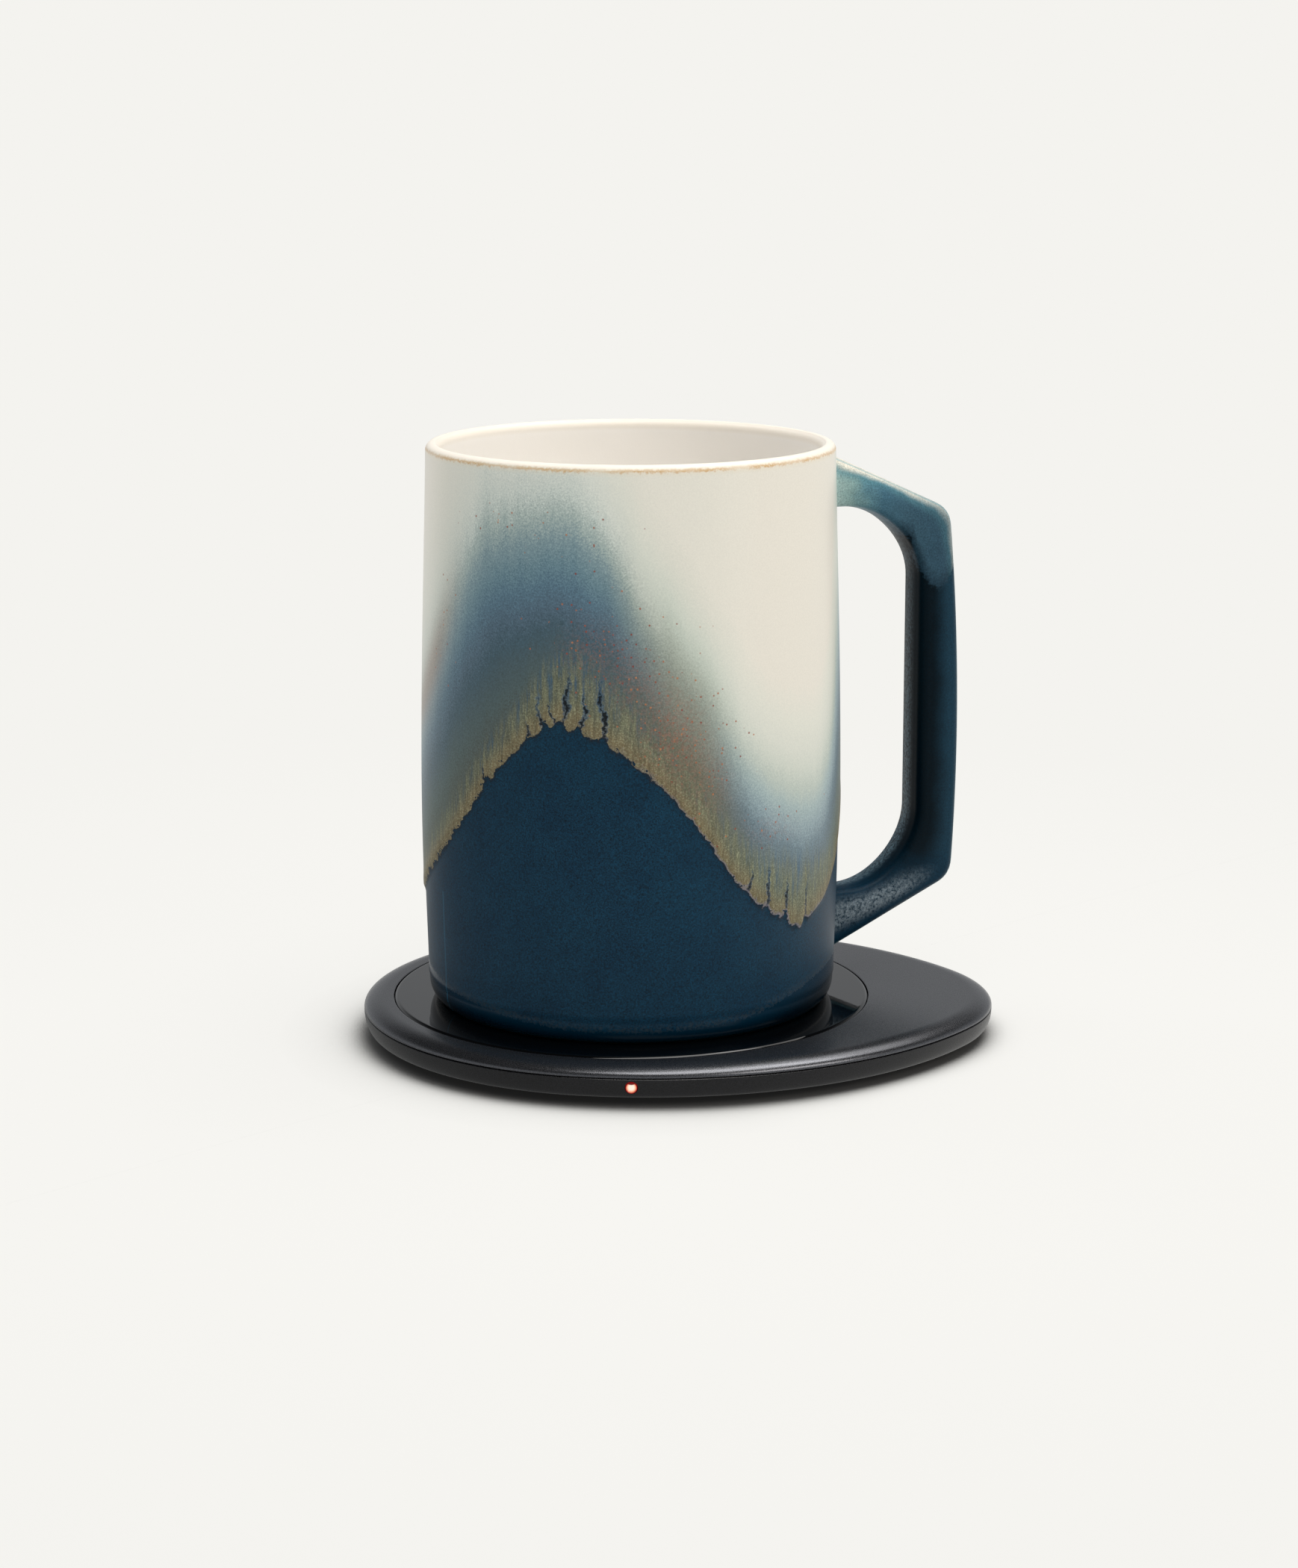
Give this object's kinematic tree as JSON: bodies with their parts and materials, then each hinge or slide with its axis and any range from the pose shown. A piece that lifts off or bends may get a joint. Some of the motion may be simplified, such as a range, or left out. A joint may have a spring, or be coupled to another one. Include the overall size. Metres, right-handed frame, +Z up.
{
  "type": "self heating mug",
  "caption": "Stoneware mug with an angular handle on a flat egg-shaped induction base; the mug lifts off, and its foot holds the receiving coil and heating film.",
  "frame": {"origin": "on the table, under the mug's axis, which is the centre of the glass disc", "axes": "+X towards the narrow end of the base, +Z up; the handle points 22 degrees from +X towards +Y, and the charging socket faces +Y"},
  "size_m": [0.1256, 0.1074, 0.1185],
  "materials": {
    "glazed_stoneware": "reactive glaze, satin blue below and pale cream above",
    "anodised_black": "bead-blasted aluminium, anodised black",
    "moulded_black": "moulded, fine spark texture",
    "black_glass": "polished black glass",
    "clear_amber": "clear moulded light pipe",
    "silicone": "matt silicone rubber",
    "copper_winding": "enamelled copper",
    "ferrite": "sintered ferrite",
    "circuit_board": "glass-fibre board with solder mask",
    "chip_black": "moulded epoxy",
    "ceramic_tan": "fired ceramic",
    "steel": "plated steel",
    "tape": "foam tape",
    "heating_foil": "etched metal foil",
    "ceramic_felt": "pressed ceramic fibre",
    "lamp_white": "moulded lamp body"
  },
  "bodies": {
    "charging_base": {"top_shell": "anodised_black", "bottom_shell": "moulded_black", "coil_tray": "moulded_black", "warming_disc": "black_glass", "light_pipe": "clear_amber", "foot_pad": "silicone", "transmitting_coil": "copper_winding", "ferrite_disc": "ferrite", "main_board": "circuit_board", "power_inductor": "chip_black", "driver_chip": "chip_black", "controller_chip": "chip_black", "socket_core": "chip_black", "temperature_sensor": "ceramic_tan", "resonance_capacitor_1": "ceramic_tan", "resonance_capacitor_2": "ceramic_tan", "resonance_capacitor_3": "ceramic_tan", "resonance_capacitor_4": "ceramic_tan", "screw_1": "steel", "screw_2": "steel", "screw_3": "steel", "screw_4": "steel", "screw_5": "steel", "socket_shell": "steel", "disc_tape": "tape", "status_lamp": "lamp_white"},
    "mug": {"mug_body": "glazed_stoneware", "mug_handle": "glazed_stoneware", "base_plate": "moulded_black", "base_seal": "silicone", "receiving_coil": "copper_winding", "receiver_board": "circuit_board", "rectifier_chip": "chip_black", "ferrite_sheet": "ferrite", "insulation_pad": "ceramic_felt", "heating_film": "heating_foil"}
  },
  "joints": [
    {"name": "mug_lift", "type": "slide", "parent": "charging_base", "child": "mug", "axis": [0, 0, 1], "range_m": [0, 0.06]}
  ]
}
